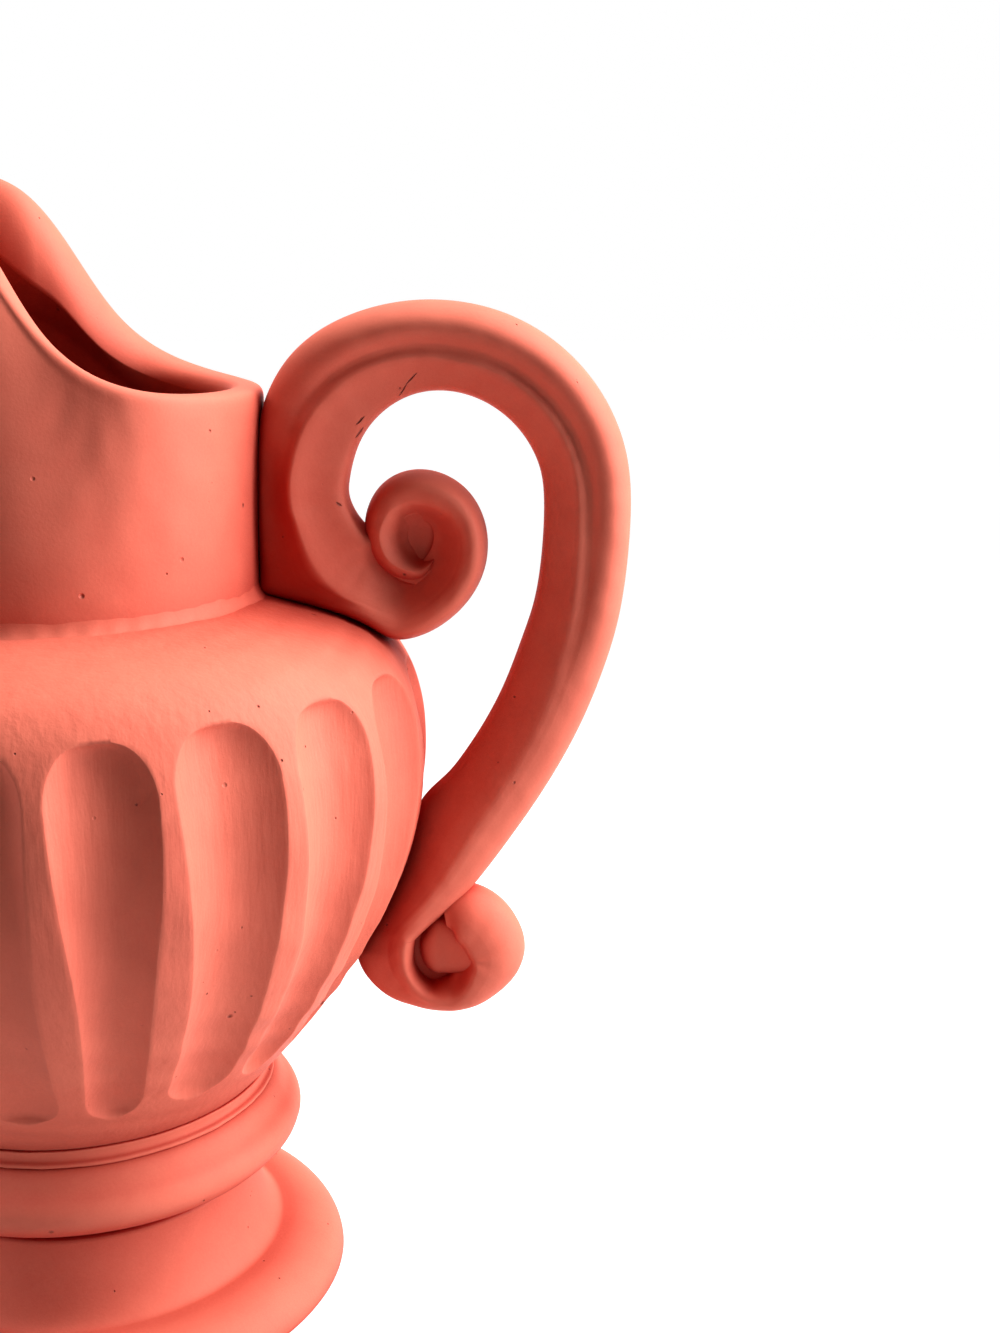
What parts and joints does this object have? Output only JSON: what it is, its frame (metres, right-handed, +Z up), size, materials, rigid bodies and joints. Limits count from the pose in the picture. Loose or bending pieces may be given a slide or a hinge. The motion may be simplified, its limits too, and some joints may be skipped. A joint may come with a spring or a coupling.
{
  "type": "ewer",
  "caption": "Unglazed ceramic ewer: fluted bowl on a ringed foot, wide neck with a wavy rim rising to a spout, and a scrolled strap handle.",
  "frame": {"origin": "middle of the bounding box in plan, on the plane that the foot stands on", "axes": "+Z up, +X towards the handle and away from the spout, Y across the ewer"},
  "size_m": [0.2202, 0.1724, 0.2695],
  "materials": {
    "clay": "matte"
  },
  "bodies": {
    "root": {"foot": "clay", "knop": "clay", "foot_slip": "clay", "bowl": "clay", "neck_slip": "clay", "neck": "clay", "handle": "clay"}
  },
  "joints": []
}
